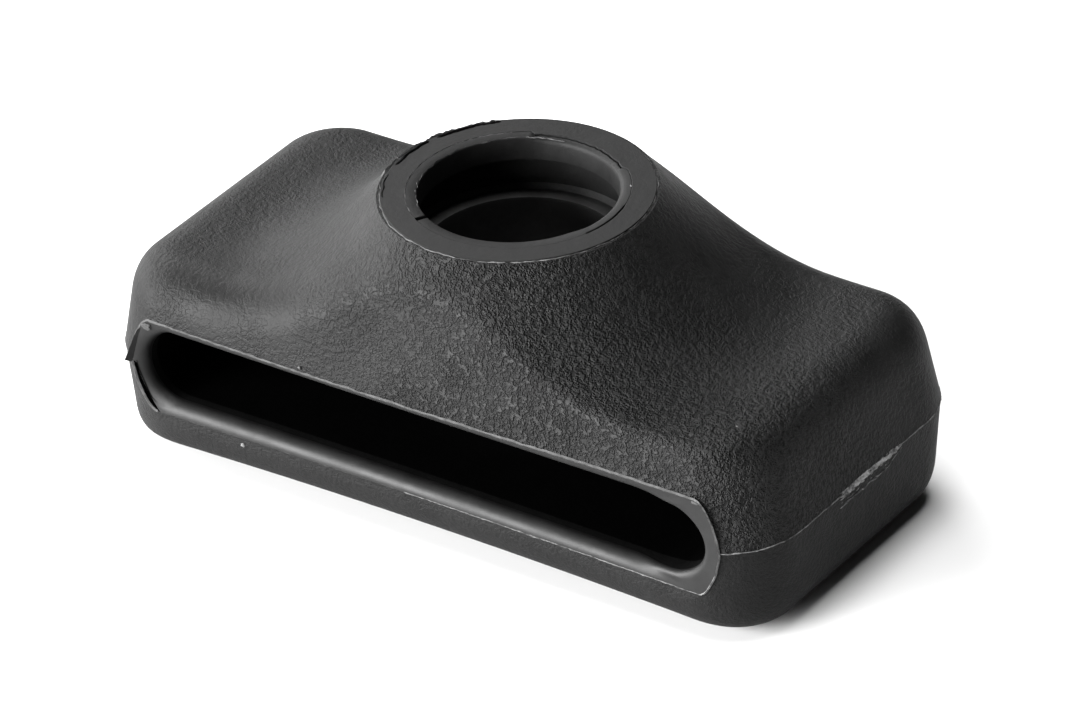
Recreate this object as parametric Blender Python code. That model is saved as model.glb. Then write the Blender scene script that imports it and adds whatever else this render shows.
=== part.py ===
"""Strap guide with a round collar: two casing shells around a slot liner, a collar bush and a split ring.

Blender 4.5, metres, +Z up. The origin is the centre of the base. X runs along the strap slot and -Y is
the front mouth. The strap passes through along Y, and the collar's bore opens down into the slot.
"""

import math

import bpy
from mathutils import Vector

MM = 0.001

# Driving dimensions of the casing
LENGTH = 60.0 * MM
BULGE_DEPTH = 29.7 * MM      # depth that the curved sides would reach without the flat mouth faces
FACE_DEPTH = 28.2 * MM       # depth over the two flat mouth faces
SEAM_Z = 8.33 * MM           # the two shells meet here, where the casing is widest
SHOULDER_Z = 16.05 * MM
HEIGHT = 23.63 * MM          # top face of the collar
CORNER_R = 6.5 * MM
UPPER_DRAFT = 0.19           # inward slope of the walls per unit of height above the seam
LOWER_DRAFT = 0.15
SHOULDER_FILLET = 3.3 * MM
BASE_FILLET = 3.4 * MM
FIT_GAP = 0.2 * MM           # clearance between neighbouring pieces
SEAM_GAP = 0.2 * MM

# Saddle that sweeps up from the shoulders to the collar
LIP_R = 10.55 * MM
LIP_Z = 23.35 * MM
SADDLE_R = 23.0 * MM         # the saddle leaves the flat shoulder here
SADDLE_POWER = 2.1

# Tongue of the seam, which stays only in the two ends
TONGUE_INSET = 1.2 * MM
TONGUE_WIDTH = 1.1 * MM
TONGUE_DEPTH = 1.1 * MM

# Strap slot and its liner
SLOT_Z = 8.3 * MM
LINER_HALF_X = 26.35 * MM
LINER_HALF_Z = 4.05 * MM
RIM_END = 1.5 * MM           # length of each pointed end of the rim's outline
RIM_POWER = 1.3              # 1 is a straight-sided point, 2 is an ellipse
THROAT_END = 2.9 * MM        # length of each round end of the opening
THROAT_POWER = 2.2
BAND = 0.9 * MM              # flat band round the mouth
WALL = 1.35 * MM
MOUTH_FLARE = 1.4 * MM       # depth of the flare behind the band

# Collar bush, its groove and the ledge under it
BUSH_R = 10.1 * MM
FLANGE_R = 11.9 * MM
FLANGE_HEIGHT = 1.9 * MM
SPIGOT_R = 8.45 * MM
LEDGE_R = 7.3 * MM
LEDGE_Z = 18.5 * MM
GROOVE_R = 9.0 * MM
GROOVE_TOP_Z = 21.6 * MM

# Split ring that forms the bore's lip
RING_INNER_R = 7.45 * MM
RING_OUTER_R = 8.35 * MM
RING_TOP_Z = 23.6 * MM
RING_HEIGHT = 1.85 * MM
BEAD_HEIGHT = 0.35 * MM
BEAD_LENGTH = 0.5 * MM
RING_CLEARANCE = 0.12 * MM
SPLIT_ANGLE = math.radians(-119.0)
SPLIT_GAP = math.radians(4.0)

# Fineness of the meshes
END_STEPS = 3
CORNER_STEPS = 6
SIDE_STEPS = 7
FILLET_STEPS = 5
SADDLE_STEPS = 6
ROUND_SEGMENTS = 48
MOUTH_STEPS = 4
LINER_END_STEPS = 10
LINER_SIDE_STEPS = 3
SHARP_ANGLE = math.radians(32.0)

LINER_TOP_Z = SLOT_Z + LINER_HALF_Z
LINER_WAIST_TOP_Z = LINER_TOP_Z - WALL
TROUGH_TOP_Z = LINER_TOP_Z + FIT_GAP
FLANGE_TOP_Z = TROUGH_TOP_Z + FLANGE_HEIGHT


def clear_objects():
    for item in list(bpy.data.objects):
        bpy.data.objects.remove(item, do_unlink=True)


def make_material(name, grey, roughness):
    material = bpy.data.materials.new(name)
    material.use_nodes = True
    shader = material.node_tree.nodes["Principled BSDF"]
    shader.inputs["Base Color"].default_value = (grey, grey, grey, 1.0)
    shader.inputs["Roughness"].default_value = roughness
    shader.inputs["Metallic"].default_value = 0.0
    return material


def make_object(name, vertices, faces, material):
    mesh = bpy.data.meshes.new(name)
    mesh.from_pydata(vertices, [], faces)
    mesh.shade_smooth()
    mesh.set_sharp_from_angle(angle=SHARP_ANGLE)
    if material:
        mesh.materials.append(material)
    piece = bpy.data.objects.new(name, mesh)
    bpy.context.scene.collection.objects.link(piece)
    return piece


def cut(piece, cutter):
    cutter.hide_render = True
    cutter.display_type = "WIRE"
    modifier = piece.modifiers.new("cut_" + cutter.name, "BOOLEAN")
    modifier.operation = "DIFFERENCE"
    modifier.solver = "EXACT"
    modifier.object = cutter


def bridge_faces(ring_count, ring_size, closed):
    """Quads between successive rings of points. A closed stack also joins its last ring to its first."""
    faces = []
    last = ring_count if closed else ring_count - 1
    for ring in range(last):
        here = ring * ring_size
        there = (ring + 1) % ring_count * ring_size
        for step in range(ring_size):
            following = (step + 1) % ring_size
            faces.append((here + step, here + following, there + following, there + step))
    return faces


# Plan outline of the casing


def plan_stations():
    """Points of the seam's outline in plan, each with its outward normal, counter-clockwise."""
    straight_x = LENGTH / 2 - CORNER_R
    straight_y = BULGE_DEPTH / 2 - CORNER_R
    quadrant = []
    for step in range(END_STEPS):
        quadrant.append((LENGTH / 2, straight_y * step / END_STEPS, 0.0))
    for step in range(CORNER_STEPS):
        turn = math.pi / 2 * step / CORNER_STEPS
        x = straight_x + CORNER_R * math.cos(turn)
        y = straight_y + CORNER_R * math.sin(turn)
        quadrant.append((x, y, turn))
    for step in range(SIDE_STEPS):
        quadrant.append((straight_x * (1 - step / SIDE_STEPS), BULGE_DEPTH / 2, math.pi / 2))
    mirrored = [(-x, y, math.pi - turn) for x, y, turn in reversed(quadrant[1:])]
    half = quadrant + [(0.0, BULGE_DEPTH / 2, math.pi / 2)] + mirrored
    whole = half + [(-x, -y, turn + math.pi) for x, y, turn in half]
    return [(Vector((x, y)), Vector((math.cos(turn), math.sin(turn)))) for x, y, turn in whole]


def inset_point(station, inset):
    point, normal = station
    return point - normal * inset


def curved_wall(station, z):
    """Plan point of the drafted wall at a height, as if there were no flat mouth faces."""
    draft = UPPER_DRAFT if z > SEAM_Z else LOWER_DRAFT
    return inset_point(station, draft * abs(z - SEAM_Z))


def wall(station, z):
    """Plan point of the wall at a height, cut off by the flat mouth faces."""
    point = curved_wall(station, z)
    half = FACE_DEPTH / 2
    return Vector((point.x, max(-half, min(half, point.y))))


def around_collar(station, radius):
    return station[0].normalized() * radius


# Sections of the casing, as (x, y, z) points at one station of the outline


def saddle_z(plan_point):
    """Height of the flared saddle over a plan point."""
    share = max(0.0, 1 - (plan_point.length - LIP_R) / (SADDLE_R - LIP_R))
    return SHOULDER_Z + (LIP_Z - SHOULDER_Z) * share ** SADDLE_POWER


def crest_z(station):
    """Height at which the wall would meet the saddle in a sharp edge."""
    low = SHOULDER_Z - MM
    high = LIP_Z
    for _ in range(40):
        middle = (low + high) / 2
        if saddle_z(curved_wall(station, middle)) > middle:
            low = middle
        else:
            high = middle
    return low


def raised(plan_point, z):
    return Vector((plan_point.x, plan_point.y, z))


def rounded_corner(start, control, end):
    """Points of a quadratic curve that rounds the corner at its control point."""
    points = []
    for step in range(FILLET_STEPS + 1):
        share = step / FILLET_STEPS
        first = start.lerp(control, share)
        second = control.lerp(end, share)
        points.append(first.lerp(second, share))
    return points


def crest_fillet(crest):
    """Reach of the shoulder's rounding, which shrinks where the crest comes close to the collar."""
    room = 0.6 * (crest.length - LIP_R)
    return (room ** -3 + SHOULDER_FILLET ** -3) ** (-1 / 3)


def upper_outside(station):
    """From the seam up the wall, round the shoulder and up the saddle to the collar's lip."""
    seam_z = SEAM_Z + SEAM_GAP / 2
    top_z = crest_z(station)
    crest = curved_wall(station, top_z)
    fillet = crest_fillet(crest)
    wall_end_z = top_z - fillet
    shoulder = crest - station[1] * fillet
    lip = around_collar(station, LIP_R)
    middle_z = (seam_z + wall_end_z) / 2
    section = [raised(wall(station, seam_z), seam_z), raised(wall(station, middle_z), middle_z)]
    section += rounded_corner(
        raised(wall(station, wall_end_z), wall_end_z),
        raised(crest, top_z),
        raised(shoulder, saddle_z(shoulder)),
    )
    for step in range(1, SADDLE_STEPS + 1):
        point = shoulder.lerp(lip, step / SADDLE_STEPS)
        section.append(raised(point, saddle_z(point)))
    return section


def tongue(station, seam_z, foot_z, growth):
    """The tongue, or its groove when it grows, from its inner side to its outer side."""
    inner = inset_point(station, TONGUE_INSET + TONGUE_WIDTH + growth)
    outer = inset_point(station, TONGUE_INSET - growth)
    return [raised(inner, seam_z), raised(inner, foot_z), raised(outer, foot_z), raised(outer, seam_z)]


def upper_section(station):
    """Closed section of the upper shell: outside, bore for the bush, pocket for its flange, seam."""
    seam_z = SEAM_Z + SEAM_GAP / 2
    bore = around_collar(station, BUSH_R + FIT_GAP)
    pocket = around_collar(station, FLANGE_R + FIT_GAP)
    pocket_z = FLANGE_TOP_Z + FIT_GAP
    section = upper_outside(station)
    section += [raised(bore, LIP_Z), raised(bore, pocket_z), raised(pocket, pocket_z)]
    section.append(raised(pocket, seam_z))
    section += tongue(station, seam_z, seam_z - TONGUE_DEPTH, 0.0)
    return section


def lower_section(station):
    """Open section of the lower shell, from the groove in its top to the flat base."""
    seam_z = SEAM_Z - SEAM_GAP / 2
    groove_z = SEAM_Z - TONGUE_DEPTH - SEAM_GAP / 2
    section = tongue(station, seam_z, groove_z, FIT_GAP)
    section.append(raised(wall(station, seam_z), seam_z))
    foot = curved_wall(station, 0.0)
    section += rounded_corner(
        raised(wall(station, BASE_FILLET), BASE_FILLET),
        raised(foot, 0.0),
        raised(foot - station[1] * BASE_FILLET, 0.0),
    )
    return section


def loft_casing(name, section_at, closed, material):
    """A shell lofted from its sections at all the stations of the outline."""
    sections = [section_at(station) for station in plan_stations()]
    size = len(sections)
    count = len(sections[0])
    vertices = [section[level] for level in range(count) for section in sections]
    faces = bridge_faces(count, size, closed)
    if not closed:
        faces = [tuple(reversed(face)) for face in faces]
        faces.append(tuple(range(size)))
        faces.append(tuple(reversed(range((count - 1) * size, count * size))))
    return make_object(name, vertices, faces, material)


# Slot liner


def slot_outline(inset):
    """Outline in X and Z at an inset: pointed ends at the rim, round ends from the band inwards."""
    roundness = max(0.0, min(1.0, inset / BAND))
    half_x = LINER_HALF_X - inset
    half_z = LINER_HALF_Z - inset
    end = RIM_END + (THROAT_END - RIM_END) * roundness
    power = RIM_POWER + (THROAT_POWER - RIM_POWER) * roundness
    straight = half_x - end
    points = []
    for step in range(LINER_END_STEPS + 1):
        turn = math.pi * (step / LINER_END_STEPS - 0.5)
        along = abs(math.cos(turn)) ** (2 / power)
        up = math.copysign(abs(math.sin(turn)) ** (2 / power), turn)
        points.append((straight + end * along, half_z * up))
    for step in range(1, LINER_SIDE_STEPS):
        points.append((straight * (1 - 2 * step / LINER_SIDE_STEPS), half_z))
    return points + [(-x, -z) for x, z in points]


def liner_stations():
    """(y, inset) of each ring: through the throat from front to back, then back over the outside."""
    face = FACE_DEPTH / 2
    front = [(-face, BAND)]
    for step in range(1, MOUTH_STEPS + 1):
        turn = math.pi / 2 * step / MOUTH_STEPS
        depth = MOUTH_FLARE * (1 - math.cos(turn))
        front.append((-face + depth, BAND + (WALL - BAND) * math.sin(turn)))
    back = [(-y, inset) for y, inset in reversed(front)]
    return front + back + [(face, 0.0), (-face, 0.0)]


def loft_slot(name, stations, closed, material):
    vertices = []
    for y, inset in stations:
        vertices += [(x, y, SLOT_Z + z) for x, z in slot_outline(inset)]
    size = len(slot_outline(0.0))
    faces = bridge_faces(len(stations), size, closed)
    if not closed:
        faces = [tuple(reversed(face)) for face in faces]
        faces.append(tuple(range(size)))
        faces.append(tuple(reversed(range((len(stations) - 1) * size, len(stations) * size))))
    return make_object(name, vertices, faces, material)


def turned_piece(name, profile, start, sweep, material):
    """A closed (radius, z) section turned about the axis, with end faces where the sweep is not full."""
    full = sweep > 2 * math.pi - 1e-6
    rings = ROUND_SEGMENTS if full else ROUND_SEGMENTS + 1
    vertices = []
    for step in range(rings):
        angle = start + sweep * step / ROUND_SEGMENTS
        vertices += [(radius * math.cos(angle), radius * math.sin(angle), z) for radius, z in profile]
    size = len(profile)
    faces = bridge_faces(rings, size, full)
    if not full:
        faces.append(tuple(reversed(range(size))))
        faces.append(tuple(range((rings - 1) * size, rings * size)))
    return make_object(name, vertices, faces, material)


def make_cylinder(name, radius, low_z, high_z):
    profile = [(radius, low_z), (radius, high_z)]
    vertices = []
    for _, z in profile:
        for step in range(ROUND_SEGMENTS):
            angle = 2 * math.pi * step / ROUND_SEGMENTS
            vertices.append((radius * math.cos(angle), radius * math.sin(angle), z))
    faces = bridge_faces(2, ROUND_SEGMENTS, False)
    faces.append(tuple(reversed(range(ROUND_SEGMENTS))))
    faces.append(tuple(range(ROUND_SEGMENTS, 2 * ROUND_SEGMENTS)))
    return make_object(name, vertices, faces, None)


def bush_profile():
    """Section of the collar bush, from the top face down the outside and back up the bore."""
    counterbore_r = RING_OUTER_R + RING_CLEARANCE
    bead_r = counterbore_r + BEAD_HEIGHT
    bead_z = RING_TOP_Z - RING_HEIGHT / 2
    bead_reach = BEAD_LENGTH / 2 + RING_CLEARANCE
    spigot_z = LINER_WAIST_TOP_Z + 0.1 * MM
    return [
        (counterbore_r, HEIGHT),
        (BUSH_R, HEIGHT),
        (BUSH_R, FLANGE_TOP_Z),
        (FLANGE_R, FLANGE_TOP_Z),
        (FLANGE_R, TROUGH_TOP_Z),
        (SPIGOT_R, TROUGH_TOP_Z),
        (SPIGOT_R, spigot_z),
        (LEDGE_R, spigot_z),
        (LEDGE_R, LEDGE_Z),
        (GROOVE_R, LEDGE_Z),
        (GROOVE_R, GROOVE_TOP_Z),
        (counterbore_r, GROOVE_TOP_Z),
        (counterbore_r, bead_z - bead_reach),
        (bead_r, bead_z - bead_reach),
        (bead_r, bead_z + bead_reach),
        (counterbore_r, bead_z + bead_reach),
    ]


def ring_profile():
    """Section of the split ring, with the bead that snaps into the bush."""
    bead_r = RING_OUTER_R + BEAD_HEIGHT
    bead_z = RING_TOP_Z - RING_HEIGHT / 2
    foot_z = RING_TOP_Z - RING_HEIGHT
    return [
        (RING_INNER_R, RING_TOP_Z),
        (RING_OUTER_R, RING_TOP_Z),
        (RING_OUTER_R, bead_z + BEAD_LENGTH / 2),
        (bead_r, bead_z + BEAD_LENGTH / 2),
        (bead_r, bead_z - BEAD_LENGTH / 2),
        (RING_OUTER_R, bead_z - BEAD_LENGTH / 2),
        (RING_OUTER_R, foot_z),
        (RING_INNER_R, foot_z),
    ]


def main():
    clear_objects()
    grained = make_material("grained_rubber", 0.020, 0.62)
    plain = make_material("plain_rubber", 0.022, 0.55)
    smooth = make_material("smooth_rubber", 0.020, 0.42)

    reach = FACE_DEPTH
    trough = loft_slot("trough_cutter", [(-reach, -FIT_GAP), (reach, -FIT_GAP)], False, None)
    port = make_cylinder("port_cutter", SPIGOT_R + FIT_GAP, SLOT_Z, HEIGHT)

    upper = loft_casing("upper_shell", upper_section, True, grained)
    cut(upper, trough)
    lower = loft_casing("lower_shell", lower_section, False, plain)
    cut(lower, trough)
    liner = loft_slot("slot_liner", liner_stations(), True, smooth)
    cut(liner, port)
    turned_piece("collar_bush", bush_profile(), 0.0, 2 * math.pi, smooth)
    turned_piece(
        "retaining_ring",
        ring_profile(),
        SPLIT_ANGLE + SPLIT_GAP / 2,
        2 * math.pi - SPLIT_GAP,
        smooth,
    )


main()
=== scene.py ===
"""Looks of the strap guide: fine casing skins, slot throat, collar face, split ring, mould flash and scars.

Every length is in metres in the CAD's frame: X along the slot, -Y out of the front mouth, +Z up.
"""

import math

import bmesh
import bpy
from mathutils import Matrix, Vector, noise


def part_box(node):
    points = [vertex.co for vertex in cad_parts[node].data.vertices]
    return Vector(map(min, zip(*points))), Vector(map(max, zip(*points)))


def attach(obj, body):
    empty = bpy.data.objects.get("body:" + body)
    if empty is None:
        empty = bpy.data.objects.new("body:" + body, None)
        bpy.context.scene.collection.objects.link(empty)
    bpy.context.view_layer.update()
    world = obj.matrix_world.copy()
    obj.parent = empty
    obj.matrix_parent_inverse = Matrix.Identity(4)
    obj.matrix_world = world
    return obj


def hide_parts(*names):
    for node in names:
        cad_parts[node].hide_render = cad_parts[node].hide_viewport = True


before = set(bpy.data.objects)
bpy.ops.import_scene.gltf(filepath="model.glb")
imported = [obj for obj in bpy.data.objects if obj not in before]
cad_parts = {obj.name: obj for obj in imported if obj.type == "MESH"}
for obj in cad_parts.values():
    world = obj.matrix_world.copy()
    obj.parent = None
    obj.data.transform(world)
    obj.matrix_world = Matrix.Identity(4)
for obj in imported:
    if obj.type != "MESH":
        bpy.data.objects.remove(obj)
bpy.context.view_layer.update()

MM = 0.001

# Dimensions read from the frame
lower_low, lower_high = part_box("lower_shell")
liner_low, liner_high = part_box("slot_liner")
bush_low, bush_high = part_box("collar_bush")
ring_low, ring_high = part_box("retaining_ring")
FACE_Y = liner_high[1]
LINER_HALF_X = liner_high[0]
LINER_HALF_Z = (liner_high[2] - liner_low[2]) / 2
SLOT_Z = (liner_high[2] + liner_low[2]) / 2
SEAM_Z = lower_high[2] + 0.1 * MM
COLLAR_Z = bush_high[2]
RING_TOP_Z = ring_high[2]
RING_FOOT_Z = ring_low[2]

# Casing
HALF_LENGTH = 29.72 * MM
HALF_BULGE = 14.85 * MM
CORNER_R = 6.5 * MM
SHOULDER_Z = 16.05 * MM
UPPER_DRAFT = 0.19
LOWER_SIDE_DRAFT = 0.15
LOWER_LEFT_DRAFT = 0.03
LOWER_RIGHT_DRAFT = 0.08
FRONT_FILLET = 0.7 * MM
CREST_X = (-13.0 * MM, 0.0 * MM)
SHOULDER_FILLET = 3.3 * MM
BASE_SIDE_FILLET = 3.4 * MM
BASE_LEFT_FILLET = 1.9 * MM
BASE_RIGHT_FILLET = 3.5 * MM
LIP_R = 10.45 * MM
LIP_Z = 23.5 * MM
SADDLE_R = 23.0 * MM
SADDLE_POWER = 2.1
CREST_BISECTIONS = 40
FILLET_ROOM = 0.6
FILLET_BLEND = 3
SKIN = 2.2 * MM
SKIN_TOP_Z = LIP_Z - 10.5 * MM
BOW = 0.6 * MM
BOW_HALF_SPAN = 26.5 * MM

# Rubber: where its grain is crisp, and how its tone varies; it also gets painted shade on the left of the
# part and painted light on its right. NOISE_SPAN holds a noise's useful values.
CRISP_X = (-9.0 * MM, 4.0 * MM)
CRISP_Y = (-8.0 * MM, 3.0 * MM)
FAINTEST = 0.14
LEFT_PAINTED_SHADE = 0.65
RIGHT_PAINTED_LIGHT = 1.35
NOISE_SPAN = (0.3, 0.7)
TONE_PITCH = 2.6 * MM
TONE_RANGE = (0.75, 1.3)
ROUGHNESS_SPREAD = 0.05
# Painted highlight on the grain's crests, as a share of the painted shade in its pits.
CREST_PAINTED_HIGHLIGHT = 1.4
PIT_EDGES = (0.38, 0.62)
PATCH_PITCH = 7.0 * MM
PATCH_SPAN = (0.38, 0.6)
PATCH_RANGE = (0.5, 1.2)
# Painted shade: the share of its colour that a lip keeps next to the throat.
THROAT_SHADE = 0.02

# Slot throat
RIM_END = 1.9 * MM
RIM_POWER = 1.55
THROAT_END = 3.0 * MM
THROAT_POWER = 2.0
BAND = 0.9 * MM
FLAT_WALL = 1.35 * MM
ROUND_WALL = 1.05 * MM
LIP_DEPTH = 2.6 * MM
LIP_STEPS = 16
LIP_MATERIALS = LIP_STEPS * [0] + [1, 2, 2, 0]  # per strip: 0 lip rubber, 1 painted half shade, 2 painted black shade
FLAT_FROM_X = 20.0 * MM
FLAT_TO_X = 24.5 * MM
# SHADED_DEPTH: where the lip's painted half shade gives way to painted black shade.
SHADED_DEPTH = 1.7 * MM
# LIGHT_DEPTH to DARK_DEPTH: where a lip's painted shade grows towards the throat.
LIGHT_DEPTH = 0.2 * MM
DARK_DEPTH = 1.1 * MM
RIM_SAG = 0.3 * MM
RIM_SAG_X = -8.0 * MM
RIM_SAG_HALF_SPAN = 24.0 * MM
FIT = 0.015 * MM
TORN_GAP = 0.5 * MM
TORN_X = -25.52 * MM
TORN_HALF_SPAN = 1.2 * MM
TORN_TOP_Z = -0.2 * MM
CUTTER_SIDE_POINTS = 4
END_POINTS = 48
SIDE_POINTS = 120

# Collar
COLLAR_R = 10.2 * MM
GROOVE_R = 9.0 * MM
GROOVE_TOP_Z = 21.6 * MM
LEDGE_R = 7.3 * MM
LEDGE_Z = 18.5 * MM
BORE_FOOT_Z = SLOT_Z + LINER_HALF_Z - ROUND_WALL
RING_INNER_R = 7.45 * MM
RING_OUTER_R = 8.35 * MM
LEDGE_EDGE = 0.12 * MM
FACE_EDGE = 0.04 * MM
FACE_RADII = (9.0 * MM, 9.8 * MM)
BUSH_FOOT_Z = BORE_FOOT_Z + 1.45 * MM
LEDGE_FOOT_Z = BORE_FOOT_Z + 0.05 * MM
GROOVE_RADII = (GROOVE_R - 0.01 * MM, COLLAR_R - 0.1 * MM)
UPWARD = 0.5
SPLIT_ANGLE = math.radians(-119.0)
SPLIT_GAP = math.radians(3.2)
BACK_ARC = (51.0, 118.0)
BACK_STEP = 0.3 * MM
BACK_DROP = 0.08 * MM
BACK_GAP = 0.1 * MM
BACK_JITTER = (0.08 * MM, 0.5 * MM, 3.0)
RIGHT_ARC = (-20.0, 15.0)
RIGHT_GAP = 0.09 * MM
RIGHT_SOFTNESS = 0.06 * MM
RING_GAP = 0.005 * MM
POCKET_SOFTNESS = 0.03 * MM
SOFT_ARC = (-25.0, 122.0)
SOFT_BLEND = 12.0
HARD_SHARE = 0.25
RING_EDGE = ((0.0, 0.45 * MM), (0.05 * MM, 0.22 * MM), (0.16 * MM, 0.07 * MM), (0.34 * MM, 0.0))

# Mould flash. A run round a mouth is (name, first, last, heights, half width, material). It counts
# points of an outline that starts at the foot of the right end, with 97 round each end and 399 along
# each side.
FIN_SINK = 0.03 * MM
FLASH_END_STEPS = 96
FLASH_SIDE_STEPS = 400
FLASH_INSET = -0.02 * MM
MOUTH_WANDER = (0.05 * MM, 0.7 * MM)
MOUTH_RUNS = (
    ("end", 0, 97, (0.05 * MM, 0.2 * MM), 0.08 * MM, "pale"),
    ("top", 96, 594, (0.03 * MM, 0.09 * MM), 0.13 * MM, "soft"),
    ("foot_left", 593, 780, (0.0 * MM, 0.06 * MM), 0.04 * MM, "faint"),
    ("foot_right", 779, 993, (0.01 * MM, 0.12 * MM), 0.05 * MM, "pale"),
)
SEAM_X = (LINER_HALF_X - 0.6 * MM, LINER_HALF_X - 0.1 * MM)
SEAM_SHARES = (0.0, 0.2, 0.4, 0.6, 0.8)
SEAM_WANDER = (0.05 * MM, 0.9 * MM)
SEAM_HEIGHTS = (0.02 * MM, 0.1 * MM)
SEAM_HALF_WIDTH = 0.05 * MM
RAGGED_PITCHES = (0.3 * MM, 1.8 * MM)

# Flash on the collar. An arc is (name, (radius, z), (start, end) in degrees, heights, half width,
# outward lean, material).
ARC_PITCH = 0.07 * MM
ARC_TAPER = 12
ARC_JITTER = (0.12 * MM, 0.8 * MM)
RIM_PLACE = (COLLAR_R + 0.01 * MM, LIP_Z)
GAP_PLACE = (COLLAR_R - 0.2 * MM, COLLAR_Z - 0.02 * MM)
LIFTED_PLACE = (COLLAR_R + 0.26 * MM, LIP_Z - 0.1 * MM)
BORE_PLACE = (RING_INNER_R + 0.1 * MM, RING_TOP_Z - 0.04 * MM)
RING_SEAM_PLACE = (RING_OUTER_R, COLLAR_Z - 0.02 * MM)
COLLAR_ARCS = (
    ("rim_flash_left", RIM_PLACE, (70.0, 290.0), (0.04 * MM, 0.12 * MM), 0.07 * MM, 0.3, "light"),
    ("rim_flash_right", RIM_PLACE, (-75.0, 72.0), (0.04 * MM, 0.12 * MM), 0.07 * MM, 0.3, "pale"),
    # The rim gaps are black strips of painted shade for the shadowed gap behind the flash.
    ("rim_gap_painted_shade_1", GAP_PLACE, (131.0, 163.0), (0.05 * MM, 0.12 * MM), 0.34 * MM, 0.0, "dark"),
    ("rim_gap_painted_shade_2", GAP_PLACE, (165.5, 191.0), (0.05 * MM, 0.12 * MM), 0.27 * MM, 0.0, "dark"),
    ("rim_gap_painted_shade_3", GAP_PLACE, (197.0, 218.0), (0.03 * MM, 0.1 * MM), 0.12 * MM, 0.0, "dark"),
    ("lifted_rim", LIFTED_PLACE, (128.0, 200.0), (0.08 * MM, 0.22 * MM), 0.16 * MM, 0.2, "light"),
    ("bore_flash", BORE_PLACE, (98.0, 236.0), (0.03 * MM, 0.14 * MM), 0.06 * MM, -0.3, "light"),
    ("ring_seam_flash", RING_SEAM_PLACE, (128.0, 240.0), (0.01 * MM, 0.04 * MM), 0.08 * MM, 0.0, "light"),
)

# Scars. A ridge is (height above the seam, half width, heights). Lumps and crumbs are
# (place, half sizes) in mm.
SCAR_Y = (-3.3 * MM, 5.0 * MM)
SCAR_STEPS = 200
SCAR_TAPER = 8
SCAR_CLOSED = 0.3
SCAR_CLOSING = 3
SCAR_WANDER = (0.1 * MM, 0.5 * MM)
SCAR_SEED = 20.0
SCAR_RIDGES = (
    (0.15 * MM, 0.1 * MM, (-0.03 * MM, 0.12 * MM)),
    (-0.08 * MM, 0.2 * MM, (0.1 * MM, 0.3 * MM)),
    (-0.35 * MM, 0.1 * MM, (-0.03 * MM, 0.16 * MM)),
    (-0.7 * MM, 0.1 * MM, (-0.03 * MM, 0.06 * MM)),
    (-1.02 * MM, 0.1 * MM, (0.02 * MM, 0.2 * MM)),
)
TAB_X = (-25.3 * MM, -26.45 * MM)
TAB_Z = (11.4 * MM, 8.0 * MM)
TAB_HEIGHT = 0.65 * MM
TAB_STEPS = 48
TAB_WANDER = (0.05 * MM, 0.5 * MM)
TAB_LEAN = Vector((-0.5, -0.86, 0.0))
TAB_ACROSS = Vector((0.86, -0.5, 0.0))
TAB_HALF_WIDTH = 0.08 * MM
LUMPS = (
    ((-24.7, -14.1, 11.65), (0.5, 0.12, 0.26)),
    ((24.5, -14.1, 12.15), (0.3, 0.12, 0.13)),
)
CRUMBS = (
    ((-10.47, -14.1, 12.5), (0.14, 0.1, 0.12)),
    ((-16.42, -14.1, 3.84), (0.17, 0.1, 0.16)),
    ((25.0, -9.16, 16.0), (0.09, 0.09, 0.09)),
    ((6.92, 4.53, 23.62), (0.09, 0.09, 0.05)),
    ((29.5, -3.3, 8.0), (0.1, 0.12, 0.12)),
)

# Stage and camera
FLOOR_HALF = 1.5
FLOOR_GREY = 0.68
CAMERA_AZIMUTH = math.radians(36.56)
CAMERA_ELEVATION = math.radians(31.86)
CAMERA_ROLL = math.radians(-3.38)
CAMERA_DISTANCE = 598.8 * MM
CAMERA_RIGHT = 0.414 * MM
CAMERA_UP = 7.497 * MM
CAMERA_LENS_MM = 266.7
CAMERA_SENSOR_MM = 36.0

# Light: (name, azimuth from +X, elevation, power in watts)
WORLD_STRENGTH = 0.02
PANEL_SIZE = 0.5
PANEL_DISTANCE = 0.8
PANELS = (
    ("key", 230.0, 10.0, 33.0),
    ("front", 255.0, 10.0, 14.5),
    ("side", 180.0, 10.0, 8.0),
    ("back", 150.0, 30.0, 6.5),
    ("top", 0.0, 90.0, 7.6),
)

# Fineness
END_STEPS = 12
CORNER_STEPS = 20
SIDE_STEPS = 48
WALL_STEPS = 16
FILLET_STEPS = 14
SADDLE_STEPS = 44
ROUND_SEGMENTS = 256
COLLAR_SEGMENTS = 540
SHARP_ANGLE = math.radians(35.0)


# Materials


def new_material(name):
    material = bpy.data.materials.new(name)
    material.use_nodes = True
    return material, material.node_tree.nodes, material.node_tree.links


def noise_node(nodes, links, source, pitch, detail, name, roughness=0.6):
    """A noise texture whose blobs are about one pitch apart."""
    texture = nodes.new("ShaderNodeTexNoise")
    texture.name = name
    texture.inputs["Scale"].default_value = 1.0 / pitch
    texture.inputs["Detail"].default_value = detail
    texture.inputs["Roughness"].default_value = roughness
    links.new(source.outputs["Object"], texture.inputs["Vector"])
    return texture


def ramp_node(nodes, links, source, low, high, low_value, high_value):
    """Maps a texture's value from low..high to low_value..high_value."""
    remap = nodes.new("ShaderNodeMapRange")
    remap.inputs["From Min"].default_value = low
    remap.inputs["From Max"].default_value = high
    remap.inputs["To Min"].default_value = low_value
    remap.inputs["To Max"].default_value = high_value
    links.new(source, remap.inputs["Value"])
    return remap.outputs["Result"]


def grey_node(nodes, links, value):
    colour = nodes.new("ShaderNodeCombineColor")
    for channel in ("Red", "Green", "Blue"):
        links.new(value, colour.inputs[channel])
    return colour.outputs["Color"]


def bump_node(nodes, links, height, distance, below=None):
    bump = nodes.new("ShaderNodeBump")
    bump.inputs["Distance"].default_value = distance
    bump.inputs["Strength"].default_value = 1.0
    links.new(height, bump.inputs["Height"])
    if below:
        links.new(below, bump.inputs["Normal"])
    return bump.outputs["Normal"]


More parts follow.
